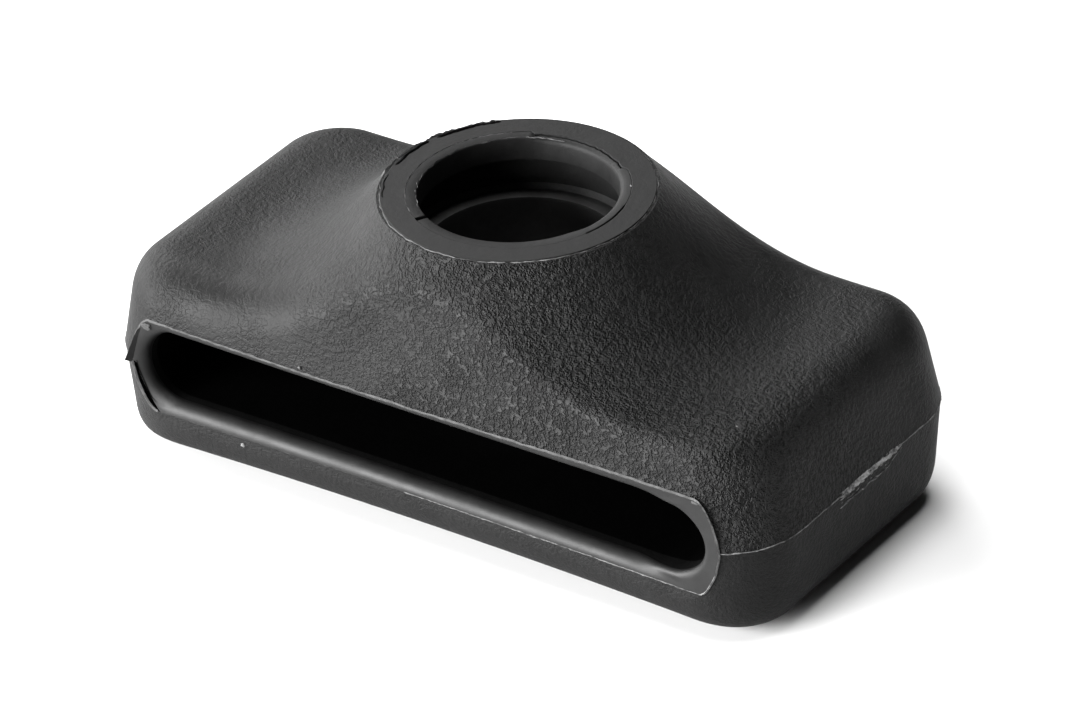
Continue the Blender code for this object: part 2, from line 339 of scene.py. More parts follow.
def product(nodes, links, first, second):
    multiply = nodes.new("ShaderNodeMath")
    multiply.operation = "MULTIPLY"
    links.new(first, multiply.inputs[0])
    links.new(second, multiply.inputs[1])
    return multiply.outputs["Value"]


def shaded(nodes, links, base, shade):
    """The base value changed by a share of itself."""
    change = product(nodes, links, base, shade)
    total = nodes.new("ShaderNodeMath")
    total.operation = "ADD"
    links.new(base, total.inputs[0])
    links.new(change, total.inputs[1])
    return total.outputs["Value"]


def along_axis(nodes, links, place, axis):
    axes = nodes.new("ShaderNodeSeparateXYZ")
    links.new(place.outputs["Object"], axes.inputs["Vector"])
    return axes.outputs[axis]


def rightward_share(nodes, links, place):
    """0 on the worn left of the part, rising to 1 from the middle on. It places the crisp grain, and the
    painted shade on the left and painted light on the right.
    """
    return ramp_node(nodes, links, along_axis(nodes, links, place, "X"), *CRISP_X, 0.0, 1.0)


def crisp_share(nodes, links, place, rightward):
    """How crisp the grain is: fully at the front of the middle and right, faint at the worn left and back."""
    forward = ramp_node(nodes, links, along_axis(nodes, links, place, "Y"), *CRISP_Y, 1.0, 0.0)
    both = product(nodes, links, rightward, forward)
    return ramp_node(nodes, links, both, 0.0, 1.0, FAINTEST, 1.0)


def painted_throat_shade_share(nodes, links, place):
    """Painted shade of the throat: 1 at the face of a mouth, falling to almost 0 a lip's depth inside."""
    from_middle = nodes.new("ShaderNodeMath")
    from_middle.operation = "ABSOLUTE"
    links.new(along_axis(nodes, links, place, "Y"), from_middle.inputs[0])
    span = (FACE_Y - DARK_DEPTH, FACE_Y - LIGHT_DEPTH)
    return ramp_node(nodes, links, from_middle.outputs["Value"], *span, THROAT_SHADE, 1.0)


def pitted(nodes, links, grain):
    """Relief of spark-eroded steel: rounded plateaus with steep-sided pits."""
    remap = nodes.new("ShaderNodeMapRange")
    remap.interpolation_type = "SMOOTHSTEP"
    remap.inputs["From Min"].default_value = PIT_EDGES[0]
    remap.inputs["From Max"].default_value = PIT_EDGES[1]
    links.new(grain, remap.inputs["Value"])
    return remap.outputs["Result"]


def patch_share(nodes, links, place):
    """The grain's depth differs a little from patch to patch."""
    patch = noise_node(nodes, links, place, PATCH_PITCH, 1.0, "patch")
    return ramp_node(nodes, links, patch.outputs["Fac"], *PATCH_SPAN, *PATCH_RANGE)


def rubber(name, grey, roughness, sheen_level, grain, swell, painted_pit_shade=0.1, worn=False, with_painted_throat_shade=False):
    """Black moulded rubber in a mottled tone. Grain and swell are (pitch, depth); the number after them
    paints shade into the grain's pits and highlight onto its crests.
    """
    material, nodes, links = new_material(name)
    shader = nodes["Principled BSDF"]
    place = nodes.new("ShaderNodeTexCoord")
    pitch, depth = grain
    fine = noise_node(nodes, links, place, pitch, 2.0, "grain", 0.8).outputs["Fac"]
    swell_pitch, swell_depth = swell
    slow = noise_node(nodes, links, place, swell_pitch, 2.0, "swell").outputs["Fac"]
    tone = noise_node(nodes, links, place, TONE_PITCH, 4.0, "tone").outputs["Fac"]
    value = ramp_node(nodes, links, tone, *NOISE_SPAN, grey * TONE_RANGE[0], grey * TONE_RANGE[1])
    # Painted shade in the grain's pits and painted highlight on its crests, from the noise of the relief.
    shade = ramp_node(nodes, links, fine, *NOISE_SPAN, -painted_pit_shade, CREST_PAINTED_HIGHLIGHT * painted_pit_shade)
    relief = pitted(nodes, links, fine)
    # worn also paints shade on the left of the part and light on its right.
    if worn:
        rightward = rightward_share(nodes, links, place)
        crisp = crisp_share(nodes, links, place, rightward)
        # Painted shade on the left of the part and painted light on its right.
        painted_side_tone = ramp_node(nodes, links, rightward, 0.0, 1.0, LEFT_PAINTED_SHADE, RIGHT_PAINTED_LIGHT)
        value = product(nodes, links, value, painted_side_tone)
        shade = product(nodes, links, shade, crisp)
        relief = product(nodes, links, relief, patch_share(nodes, links, place))
        relief = product(nodes, links, relief, crisp)
    value = shaded(nodes, links, value, shade)
    # Painted shade: the lip's colour darkens towards the throat, where the slot's shade falls.
    if with_painted_throat_shade:
        value = product(nodes, links, value, painted_throat_shade_share(nodes, links, place))
    links.new(grey_node(nodes, links, value), shader.inputs["Base Color"])
    rough_range = (roughness - ROUGHNESS_SPREAD, roughness + ROUGHNESS_SPREAD)
    links.new(ramp_node(nodes, links, tone, *NOISE_SPAN, *rough_range), shader.inputs["Roughness"])
    shader.inputs["Specular IOR Level"].default_value = sheen_level
    normal = bump_node(nodes, links, slow, swell_depth)
    normal = bump_node(nodes, links, relief, depth, normal)
    links.new(normal, shader.inputs["Normal"])
    return material


def flash_material(name, low, high, sheen_level):
    """Thin mould flash, mottled and paler than the rubber: partly its own whitened colour, partly painted
    highlight for the light its thin edges catch.
    """
    material, nodes, links = new_material(name)
    shader = nodes["Principled BSDF"]
    place = nodes.new("ShaderNodeTexCoord")
    tone = noise_node(nodes, links, place, 0.5 * MM, 3.0, "tone")
    value = ramp_node(nodes, links, tone.outputs["Fac"], 0.35, 0.65, low, high)
    links.new(grey_node(nodes, links, value), shader.inputs["Base Color"])
    shader.inputs["Roughness"].default_value = 0.6
    shader.inputs["Specular IOR Level"].default_value = sheen_level
    return material


def floor_material():
    material, nodes, _ = new_material("floor")
    shader = nodes["Principled BSDF"]
    shader.inputs["Base Color"].default_value = (FLOOR_GREY, FLOOR_GREY, FLOOR_GREY, 1.0)
    shader.inputs["Roughness"].default_value = 0.9
    shader.inputs["Specular IOR Level"].default_value = 0.0
    return material


# Mesh helpers


def solid(name, vertices, faces):
    """A closed mesh with its faces turned outwards."""
    mesh = bpy.data.meshes.new(name)
    mesh.from_pydata(vertices, [], faces)
    work = bmesh.new()
    work.from_mesh(mesh)
    bmesh.ops.recalc_face_normals(work, faces=work.faces)
    work.to_mesh(mesh)
    work.free()
    piece = bpy.data.objects.new(name, mesh)
    bpy.context.scene.collection.objects.link(piece)
    return piece


def smooth(mesh):
    mesh.shade_smooth()
    mesh.set_sharp_from_angle(angle=SHARP_ANGLE)


def add_mesh(name, vertices, faces, material):
    """A smooth-shaded piece that rides on the part's only body."""
    piece = solid(name, vertices, faces)
    piece.data.materials.append(material)
    smooth(piece.data)
    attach(piece, "root")
    return piece


def strip_faces(rings, size, closed):
    """Faces between rings of vertices; closed joins the last ring to the first."""
    faces = []
    last = rings if closed else rings - 1
    for ring in range(last):
        here = ring * size
        there = (ring + 1) % rings * size
        for step in range(size):
            following = (step + 1) % size
            faces.append((here + step, here + following, there + following, there + step))
    return faces


def capped_faces(rings, size):
    """Faces between open rings, closed at both ends."""
    faces = strip_faces(rings, size, False)
    faces.append(tuple(range(size)))
    faces.append(tuple(range((rings - 1) * size, rings * size)))
    return faces


def bowed(point):
    """The lower half is bowed: its foot rises towards the middle of its length."""
    rise = BOW * max(0.0, 1 - (point.x / BOW_HALF_SPAN) ** 2)
    fade = max(0.0, 1 - point.z / SEAM_Z)
    return Vector((point.x, point.y, point.z + rise * fade))


def smooth_step(value, start, end):
    """0 before the start, 1 after the end, and a soft S between them."""
    share = max(0.0, min(1.0, (value - start) / (end - start)))
    return share * share * (3 - 2 * share)


def wander(place, amount, pitch):
    """A slow irregular offset, the same each run."""
    return amount * noise.noise(place / pitch)


def bow(piece):
    for vertex in piece.data.vertices:
        vertex.co = bowed(vertex.co)


# Casing


def plan_stations():
    """Points of the seam's outline in plan with their outward normals, counter-clockwise."""
    straight_x = HALF_LENGTH - CORNER_R
    straight_y = HALF_BULGE - CORNER_R
    quadrant = []
    for step in range(END_STEPS):
        quadrant.append((HALF_LENGTH, straight_y * step / END_STEPS, 0.0))
    for step in range(CORNER_STEPS):
        turn = math.pi / 2 * step / CORNER_STEPS
        x = straight_x + CORNER_R * math.cos(turn)
        y = straight_y + CORNER_R * math.sin(turn)
        quadrant.append((x, y, turn))
    for step in range(SIDE_STEPS):
        quadrant.append((straight_x * (1 - step / SIDE_STEPS), HALF_BULGE, math.pi / 2))
    mirrored = [(-x, y, math.pi - turn) for x, y, turn in reversed(quadrant[1:])]
    half = quadrant + [(0.0, HALF_BULGE, math.pi / 2)] + mirrored
    whole = half + [(-x, -y, turn + math.pi) for x, y, turn in half]
    return [(Vector((x, y)), Vector((math.cos(turn), math.sin(turn)))) for x, y, turn in whole]


def between(side_value, end_value, normal):
    """A value that changes round the corners from the long sides to the ends."""
    return side_value + (end_value - side_value) * normal.x ** 2


def curved_wall(station, z):
    """The drafted wall in plan at a height, before the mouth faces cut it flat."""
    point, normal = station
    end_draft = LOWER_RIGHT_DRAFT if normal.x > 0 else LOWER_LEFT_DRAFT
    draft = UPPER_DRAFT if z > SEAM_Z else between(LOWER_SIDE_DRAFT, end_draft, normal)
    return point - normal * draft * abs(z - SEAM_Z)


def wall(station, z):
    """The wall in plan at a height, flat at the mouth faces."""
    point = curved_wall(station, z)
    return Vector((point.x, max(-FACE_Y, min(FACE_Y, point.y))))


def saddle_z(plan_point):
    share = max(0.0, 1 - (plan_point.length - LIP_R) / (SADDLE_R - LIP_R))
    return SHOULDER_Z + (LIP_Z - SHOULDER_Z) * share ** SADDLE_POWER


def crest_z(station):
    """Height at which the wall meets the saddle."""
    low = SHOULDER_Z - MM
    high = LIP_Z
    for _ in range(CREST_BISECTIONS):
        middle = (low + high) / 2
        if saddle_z(curved_wall(station, middle)) > middle:
            low = middle
        else:
            high = middle
    return low


def raised(plan_point, z):
    return Vector((plan_point.x, plan_point.y, z))


def rounded_corner(start, control, end):
    points = []
    for step in range(FILLET_STEPS + 1):
        share = step / FILLET_STEPS
        points.append(start.lerp(control, share).lerp(control.lerp(end, share), share))
    return points


def front_fillet(x):
    """The front edge of the saddle is worn round at the left and sharper from the middle on."""
    return SHOULDER_FILLET + (FRONT_FILLET - SHOULDER_FILLET) * smooth_step(x, *CREST_X)


def shoulder_fillet(station, room):
    """The fillet between wall and saddle, kept below the room there is for it."""
    side_fillet = front_fillet(station[0].x) if station[1].y < 0 else SHOULDER_FILLET
    wanted = between(side_fillet, SHOULDER_FILLET, station[1])
    return (room ** -FILLET_BLEND + wanted ** -FILLET_BLEND) ** (-1 / FILLET_BLEND)


def upper_outside(station):
    """One section of the upper skin, from the seam up to the collar's lip."""
    top_z = crest_z(station)
    crest = curved_wall(station, top_z)
    fillet = shoulder_fillet(station, FILLET_ROOM * (crest.length - LIP_R))
    wall_end_z = top_z - fillet
    shoulder = crest - station[1] * fillet
    lip = station[0].normalized() * LIP_R
    section = []
    for step in range(WALL_STEPS):
        z = SEAM_Z + (wall_end_z - SEAM_Z) * step / WALL_STEPS
        section.append(raised(wall(station, z), z))
    section += rounded_corner(
        raised(wall(station, wall_end_z), wall_end_z),
        raised(crest, top_z),
        raised(shoulder, saddle_z(shoulder)),
    )
    for step in range(1, SADDLE_STEPS + 1):
        point = shoulder.lerp(lip, step / SADDLE_STEPS)
        section.append(raised(point, saddle_z(point)))
    return section


def upper_section(station):
    """Closed section of the upper skin: outside, lip, bore and inside of the skin."""
    outward = station[0].normalized()
    section = upper_outside(station)
    bore = outward * (COLLAR_R + FIT)
    section += [raised(bore, LIP_Z), raised(bore, SHOULDER_Z)]
    inner = station[0] - station[1] * SKIN
    section += [raised(inner, SKIN_TOP_Z), raised(inner, SEAM_Z)]
    return section


def lower_section(station):
    """Section of the lower skin, from its middle over the seam to the flat base."""
    section = [raised(station[0] - station[1] * SKIN, SEAM_Z)]
    end_fillet = BASE_RIGHT_FILLET if station[1].x > 0 else BASE_LEFT_FILLET
    fillet = between(BASE_SIDE_FILLET, end_fillet, station[1])
    for step in range(WALL_STEPS):
        z = SEAM_Z + (fillet - SEAM_Z) * step / WALL_STEPS
        section.append(raised(wall(station, z), z))
    foot = curved_wall(station, 0.0)
    section += rounded_corner(
        raised(wall(station, fillet), fillet),
        raised(foot, 0.0),
        raised(foot - station[1] * fillet, 0.0),
    )
    return section


def rim_sag(x):
    """How far the upper rim of a mouth has sagged."""
    return RIM_SAG * max(0.0, 1 - ((x - RIM_SAG_X) / RIM_SAG_HALF_SPAN) ** 2)


def mouth_point(x, z, y, inset):
    """A point of the mouth, with the rim's sag fading out towards the throat."""
    share = 1 - min(1.0, max(0.0, inset / ROUND_WALL))
    sag = rim_sag(x) * share * max(0.0, z) / LINER_HALF_Z
    return Vector((x, y, SLOT_Z + z - sag))


def slot_outline(inset, end_steps, side_steps):
    """Outline in X and Z at an inset: pointed ends at the rim, round ends from the band inwards."""
    roundness = max(0.0, min(1.0, inset / BAND))
    half_x = LINER_HALF_X - inset
    half_z = LINER_HALF_Z - inset
    end = RIM_END + (THROAT_END - RIM_END) * roundness
    power = RIM_POWER + (THROAT_POWER - RIM_POWER) * roundness
    straight = half_x - end
    points = []
    for step in range(end_steps + 1):
        turn = math.pi * (step / end_steps - 0.5)
        along = abs(math.cos(turn)) ** (2 / power)
        up = math.copysign(abs(math.sin(turn)) ** (2 / power), turn)
        points.append((straight + end * along, half_z * up))
    for step in range(1, side_steps):
        points.append((straight * (1 - 2 * step / side_steps), half_z))
    return points + [(-x, -z) for x, z in points]


def trough_cutter():
    """The space of the throat, cut out of both skins."""
    reach = 2 * FACE_Y
    outline = slot_outline(-FIT, END_POINTS, CUTTER_SIDE_POINTS)
    vertices = []
    for y in (-reach, reach):
        vertices += [mouth_point(x, z, y, 0.0) for x, z in outline]
    return solid("trough", vertices, capped_faces(2, len(outline)))


def apply_cut(piece, cutter):
    modifier = piece.modifiers.new("cut", "BOOLEAN")
    modifier.operation = "DIFFERENCE"
    modifier.solver = "EXACT"
    modifier.object = cutter
    graph = bpy.context.evaluated_depsgraph_get()
    mesh = bpy.data.meshes.new_from_object(piece.evaluated_get(graph))
    piece.modifiers.clear()
    piece.data = mesh
    smooth(mesh)


def rings_of(sections):
    """Vertices of sections reordered into rings round the part, and the number of rings."""
    count = len(sections[0])
    return [section[level] for level in range(count) for section in sections], count


def make_casing(cutter, grained, plain):
    stations = plan_stations()
    vertices, count = rings_of([upper_section(station) for station in stations])
    faces = strip_faces(count, len(stations), True)
    upper = add_mesh("casing_top", vertices, faces, grained)
    apply_cut(upper, cutter)
    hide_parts("upper_shell")

    vertices, count = rings_of([lower_section(station) for station in stations])
    faces = capped_faces(count, len(stations))
    lower = add_mesh("casing_base", vertices, faces, plain)
    apply_cut(lower, cutter)
    bow(lower)
    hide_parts("lower_shell")


def torn_gap(side, x, z):
    """How far the lip has pulled away from the casing at the lower left of the front mouth."""
    if side > 0 or z > TORN_TOP_Z:
        return 0.0
    return TORN_GAP * max(0.0, 1 - ((x - TORN_X) / TORN_HALF_SPAN) ** 2) ** 0.5


def flat_at(x):
    """The lip is flat at the right end and round everywhere else."""
    return smooth_step(x, FLAT_FROM_X, FLAT_TO_X)


def throat_outline():
    """(x, z) of the throat; its wall stands further in behind the flat end of the lip."""
    near = slot_outline(ROUND_WALL, END_POINTS, SIDE_POINTS)
    far = slot_outline(FLAT_WALL, END_POINTS, SIDE_POINTS)
    points = []
    for (near_x, near_z), (far_x, far_z) in zip(near, far):
        share = flat_at(near_x)
        points.append((near_x + (far_x - near_x) * share, near_z + (far_z - near_z) * share))
    return points


def lip_section(turn, flat_share):
    """(share of the way in, depth) of the lip: a quarter round, or a flat band and a tighter round."""
    flat = BAND / FLAT_WALL
    late = max(0.0, 2 * turn - math.pi / 2)
    flat_inset = min(flat, flat * turn * 4 / math.pi) + (1 - flat) * math.sin(late)
    inset = math.sin(turn) * (1 - flat_share) + flat_inset * flat_share
    flat_depth = (FLAT_WALL - BAND) * (1 - math.cos(late))
    round_depth = ROUND_WALL * (1 - math.cos(turn))
    return inset, round_depth * (1 - flat_share) + flat_depth * flat_share


def lip_station(side, turn, hidden_depth=None):
    """One ring of the lip, at a turn of its profile or at a depth behind it."""
    points = []
    rim = slot_outline(0.0, END_POINTS, SIDE_POINTS)
    for (rim_x, rim_z), (throat_x, throat_z) in zip(rim, throat_outline()):
        share, depth = lip_section(turn, flat_at(rim_x))
        depth = hidden_depth or depth
        pull = torn_gap(side, rim_x, rim_z) * max(0.0, 1 - 2.5 * share)
        x = rim_x + (throat_x - rim_x) * share + pull
        z = rim_z + (throat_z - rim_z) * share + 0.6 * pull
        points.append(mouth_point(x, z, side * (FACE_Y - depth), share * ROUND_WALL))
    return points


def make_lips(glossy, painted_half_shade, painted_black_shade):
    """The lips of both mouths, from the rim in to the throat."""
    quarter = math.pi / 2
    for side, name in ((-1, "lip_front"), (1, "lip_back")):
        stations = [lip_station(side, quarter * step / LIP_STEPS) for step in range(LIP_STEPS + 1)]
        stations.append(lip_station(side, quarter, SHADED_DEPTH))
        stations.append(lip_station(side, quarter, LIP_DEPTH))
        stations.append(lip_station(side, 0.0, LIP_DEPTH))
        size = len(stations[0])
        vertices = [point for station in stations for point in station]
        lip = add_mesh(name, vertices, strip_faces(len(stations), size, True), glossy)
        # The inner strips are near-black: painted half shade, then painted black shade.
        lip.data.materials.append(painted_half_shade)
        lip.data.materials.append(painted_black_shade)
        for face in lip.data.polygons:
            face.material_index = LIP_MATERIALS[face.index // size]
        bow(lip)


def make_throat(painted_black_shade):
    """The throat between the lips, open upwards into the collar's bore, in near-black rubber that is painted
    shade.
    """
    start = FACE_Y - LIP_DEPTH
    inside = throat_outline()
    outside = slot_outline(0.0, END_POINTS, SIDE_POINTS)
    rows = (
        (-start, inside, ROUND_WALL),
        (start, inside, ROUND_WALL),
        (start, outside, 0.0),
        (-start, outside, 0.0),
    )
    vertices = []
    for y, outline, inset in rows:
        vertices += [mouth_point(x, z, y, inset) for x, z in outline]
    faces = strip_faces(len(rows), len(inside), True)
    throat = add_mesh("slot_throat", vertices, faces, painted_black_shade)
    port = turned("port", [(SLOT_Z, LEDGE_R), (COLLAR_Z, LEDGE_R)])
    apply_cut(throat, port)
    bpy.data.objects.remove(port, do_unlink=True)
    bow(throat)
    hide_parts("slot_liner")


def round_point(radius, angle, z):
    return Vector((radius * math.cos(angle), radius * math.sin(angle), z))


def turned(name, profile):
    """A plain closed cylinder-like cutter from (z, radius) pairs."""
    vertices = []
    for z, radius in profile:
        for step in range(ROUND_SEGMENTS):
            vertices.append(round_point(radius, 2 * math.pi * step / ROUND_SEGMENTS, z))
    return solid(name, vertices, capped_faces(len(profile), ROUND_SEGMENTS))


# Collar


def window(angle, start, end, blend=2.0):
    """1 between two angles in degrees and 0 outside, with soft ends."""
    span = (end - start) % 360
    along = (math.degrees(angle) - start) % 360
    inside = min(along, span - along)
    return max(0.0, min(1.0, inside / blend))


def jitter(angle, amount, pitch, seed):
    """An irregular offset round the collar, the same each run."""
    place = round_point(COLLAR_R, angle, seed * MM) / pitch
    return amount * noise.noise(place)


def pocket_r(angle):
    """Radius where the split ring meets the collar's face; it steps inwards along the back."""
    back = window(angle, *BACK_ARC)
    return RING_OUTER_R - back * (BACK_STEP + jitter(angle, *BACK_JITTER))


def ring_gap(angle):
    """Width of the gap round the split ring; it opens at the back and at the right."""
    back = window(angle, *BACK_ARC)
    right = window(angle, *RIGHT_ARC)
    return RING_GAP + BACK_GAP * back + RIGHT_GAP * right


def collar_profile(angle):
    """(radius, z) pairs of the bush: face, outer wall, ledge, groove and the ring's pocket."""
    inner = pocket_r(angle)
    soft = POCKET_SOFTNESS + RIGHT_SOFTNESS * window(angle, *RIGHT_ARC)
    return [
        (inner, COLLAR_Z - soft),
        (inner + soft, COLLAR_Z),
        (FACE_RADII[0], COLLAR_Z),
        (FACE_RADII[1], COLLAR_Z),
        (COLLAR_R - FACE_EDGE, COLLAR_Z),
        (COLLAR_R, COLLAR_Z - FACE_EDGE),
        (COLLAR_R, SHOULDER_Z),
        (COLLAR_R, BUSH_FOOT_Z),
        (LEDGE_R, LEDGE_FOOT_Z),
        (LEDGE_R, LEDGE_Z - 2 * LEDGE_EDGE),
        (LEDGE_R + LEDGE_EDGE, LEDGE_Z),
        (GROOVE_R - 3 * LEDGE_EDGE, LEDGE_Z),
        (GROOVE_R, LEDGE_Z + 3 * LEDGE_EDGE),
        (GROOVE_R, GROOVE_TOP_Z),
        (inner, GROOVE_TOP_Z),
    ]


def collar_material_index(face):
    """0 for the ring face, 1 for faces that look upwards such as the ledge, and 2 for the groove's wall; 1
    and 2 take lighter rubber as painted light.
    """
    if face.center.z >= GROOVE_TOP_Z:
        return 0
    if face.normal.z > UPWARD:
        return 1
    return 2 if GROOVE_RADII[0] < face.center.xy.length < GROOVE_RADII[1] else 0


def make_collar(face_rubber, painted_light_ledge_rubber, painted_light_groove_rubber):
    vertices = []
    for step in range(COLLAR_SEGMENTS):
        angle = 2 * math.pi * step / COLLAR_SEGMENTS
        vertices += [round_point(radius, angle, z) for radius, z in collar_profile(angle)]
    faces = strip_faces(COLLAR_SEGMENTS, len(collar_profile(0.0)), True)
    collar = add_mesh("collar_face", vertices, faces, face_rubber)
    collar.data.materials.append(painted_light_ledge_rubber)
    collar.data.materials.append(painted_light_groove_rubber)
    for face in collar.data.polygons:
        face.material_index = collar_material_index(face)
    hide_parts("collar_bush")


def ring_profile(angle):
    """(radius, z) pairs of the split ring, with a rounded inner edge."""
    top = RING_TOP_Z - BACK_DROP * window(angle, *BACK_ARC)
    outer = pocket_r(angle) - ring_gap(angle)
    soft = HARD_SHARE + (1 - HARD_SHARE) * window(angle, *SOFT_ARC, SOFT_BLEND)
    rounded = [(RING_INNER_R + outwards * soft, top - drop * soft) for outwards, drop in RING_EDGE]
    return rounded + [
        (outer - FACE_EDGE, top),
        (outer, top - FACE_EDGE),
        (outer, RING_FOOT_Z),
        (RING_INNER_R, RING_FOOT_Z),
    ]


def make_lip_ring(face_rubber):
    start = SPLIT_ANGLE + SPLIT_GAP / 2
    sweep = 2 * math.pi - SPLIT_GAP
    vertices = []
    for step in range(COLLAR_SEGMENTS + 1):
        angle = start + sweep * step / COLLAR_SEGMENTS
        vertices += [round_point(radius, angle, z) for radius, z in ring_profile(angle)]
    faces = capped_faces(COLLAR_SEGMENTS + 1, len(ring_profile(0.0)))
    ring = add_mesh("lip_ring", vertices, faces, face_rubber)
    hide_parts("retaining_ring")


# Mould flash


def fin(name, points, half_width, material):
    """A thin raised line of flash. Each point is (base, outward, across, height)."""
    vertices = []
    for base, outward, across, height in points:
        root = base - outward * FIN_SINK
        vertices += [root - across * half_width, root + across * half_width, base + outward * height]
    return add_mesh(name, vertices, capped_faces(len(points), 3), material)


def ragged(place, low, high, seed):
    """Height of torn flash at a place: mostly low, with short peaks."""
    fine = noise.noise(place / RAGGED_PITCHES[0] + Vector((seed, 0, 0)))
    broad = noise.noise(place / RAGGED_PITCHES[1] + Vector((0, seed, 0)))
    share = max(0.0, min(1.0, 0.4 + 0.7 * fine + 0.6 * broad))
    return low + (high - low) * share


def seam_points(side):
    """Points of the seam's flash round one end of the part, from the front to the back."""
    chosen = [station for station in plan_stations() if side * station[0].x > SEAM_X[0]]
    chosen.sort(key=lambda station: station[0].y)
    points = []
    for first, second in zip(chosen, chosen[1:]):
        for share in SEAM_SHARES:
            point = first[0].lerp(second[0], share)
            normal = first[1].lerp(second[1], share).normalized()
            if side * point.x < SEAM_X[1]:
                continue
            point.y = max(-FACE_Y, min(FACE_Y, point.y))
            base = raised(point, SEAM_Z)
            base.z += wander(base, *SEAM_WANDER)
            height = ragged(base, *SEAM_HEIGHTS, 3.0 * side)
            points.append((base, raised(normal, 0.0), Vector((0, 0, side)), height))
    return points


def make_seam_flash(pale):
    for side, name in ((1, "seam_flash_right"), (-1, "seam_flash_left")):
        fin(name, seam_points(side), SEAM_HALF_WIDTH, pale)


def outline_normals(outline):
    """Outward normals, in X and Z, of a closed outline."""
    normals = []
    for index, _ in enumerate(outline):
        before = outline[index - 1]
        after = outline[(index + 1) % len(outline)]
        normal = Vector((after[1] - before[1], before[0] - after[0]))
        normals.append(normal.normalized())
    return normals


def make_mouth_flash(materials):
    """Flash round both mouths, in runs that each have a material."""
    outline = slot_outline(FLASH_INSET, FLASH_END_STEPS, FLASH_SIDE_STEPS)
    normals = outline_normals(outline)
    outline.append(outline[0])
    normals.append(normals[0])
    for side, mouth in ((-1, "front"), (1, "back")):
        for run, first, last, heights, half_width, tone in MOUTH_RUNS:
            points = []
            for (x, z), normal in list(zip(outline, normals))[first:last]:
                base = mouth_point(x, z, side * FACE_Y, 0.0)
                across = Vector((normal.x, 0.0, normal.y)) * side
                shifted = base + across * wander(base, *MOUTH_WANDER)
                height = ragged(base, *heights, 7.0)
                points.append((shifted, Vector((0, side, 0)), across, height))
            name = f"mouth_flash_{mouth}_{run}"
            bow(fin(name, points, half_width, materials[tone]))


def arc_fin(name, place, arc, heights, half_width, lean, material):
    """Flash along an arc of the collar. Place is (radius, z); lean is how far it leans outwards."""
    radius, z = place
    start, end = (math.radians(value) for value in arc)
    steps = round(abs(end - start) * radius / ARC_PITCH)
    points = []
    for step in range(steps + 1):
        share = step / steps
        angle = start + (end - start) * share
        outward = round_point(1.0, angle, 0.0)
        base = round_point(radius + jitter(angle, *ARC_JITTER, radius / MM), angle, z)
        taper = min(1.0, ARC_TAPER * share, ARC_TAPER * (1 - share))
        height = taper * ragged(base, *heights, radius / MM)
        points.append((base, (outward * lean + Vector((0, 0, 1))).normalized(), outward, height))
    fin(name, points, half_width, material)


def make_collar_flash(materials):
    """Light flash round the collar's rim, and black strips of painted shade at the back left for the gap
    where it has come away.
    """
    for name, place, arc, heights, half_width, lean, tone in COLLAR_ARCS:
        arc_fin(name, place, arc, heights, half_width, lean, materials[tone])


def scar_points(height_z, heights, seed):
    """Points of one torn ridge. The ridges close up at their far end."""
    points = []
    for step in range(SCAR_STEPS + 1):
        share = step / SCAR_STEPS
        y = SCAR_Y[0] + (SCAR_Y[1] - SCAR_Y[0]) * share
        z = SEAM_Z + height_z * min(1.0, SCAR_CLOSED + SCAR_CLOSING * (1 - share))
        z += wander(Vector((0, y, z)), *SCAR_WANDER)
        draft = UPPER_DRAFT if z > SEAM_Z else LOWER_RIGHT_DRAFT
        base = Vector((HALF_LENGTH - draft * abs(z - SEAM_Z), y, z))
        taper = min(1.0, SCAR_TAPER * share, SCAR_TAPER * (1 - share))
        height = taper * ragged(base, *heights, seed)
        points.append((base, Vector((1, 0, 0)), Vector((0, 0, 1)), height))
    return points


def make_gate_scar(torn):
    """Torn ridges left on the right end where the moulding was cut from its gate."""
    for index, (height_z, half_width, heights) in enumerate(SCAR_RIDGES):
        points = scar_points(height_z, heights, SCAR_SEED + index)
        fin(f"gate_scar_{index}", points, half_width, torn)


def make_tab(rubber_skin):
    """Thin torn flap of flash that stands out along the upper left of the front mouth's rim."""
    points = []
    for step in range(TAB_STEPS + 1):
        share = step / TAB_STEPS
        z = TAB_Z[0] + (TAB_Z[1] - TAB_Z[0]) * share
        x = TAB_X[0] + (TAB_X[1] - TAB_X[0]) * share ** 0.8
        base = Vector((x, -FACE_Y, z))
        base.x += wander(base, *TAB_WANDER)
        height = TAB_HEIGHT * min(0.3 + 0.8 * share ** 1.5, 9 * (1 - share), 6 * share)
        points.append((base, TAB_LEAN, TAB_ACROSS, height))
    fin("torn_tab", points, TAB_HALF_WIDTH, rubber_skin)


def make_lumps(name, lumps, material):
    """Lumps of flash or loose crumbs, all in one piece."""
    work = bmesh.new()
    for index, (place, size) in enumerate(lumps):
        centre = Vector(place) * MM
        made = bmesh.ops.create_icosphere(work, subdivisions=3, radius=1.0)
        for vertex in made["verts"]:
            swell = 1 + 0.5 * noise.noise(vertex.co * 1.6 + Vector((7.0 * index, 0, 0)))
            vertex.co = centre + Vector([part * side * MM for part, side in zip(vertex.co, size)]) * swell
    mesh = bpy.data.meshes.new(name)
    work.to_mesh(mesh)
    work.free()
    mesh.materials.append(material)
    mesh.shade_smooth()
    piece = bpy.data.objects.new(name, mesh)
    bpy.context.scene.collection.objects.link(piece)
    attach(piece, "root")


# Stage


def make_floor():
    corners = [(x * FLOOR_HALF, y * FLOOR_HALF, 0) for x, y in ((-1, -1), (1, -1), (1, 1), (-1, 1))]
    mesh = bpy.data.meshes.new("floor")
    mesh.from_pydata(corners, [], [(0, 1, 2, 3)])
    mesh.materials.append(floor_material())
    floor = bpy.data.objects.new("floor", mesh)
    bpy.context.scene.collection.objects.link(floor)


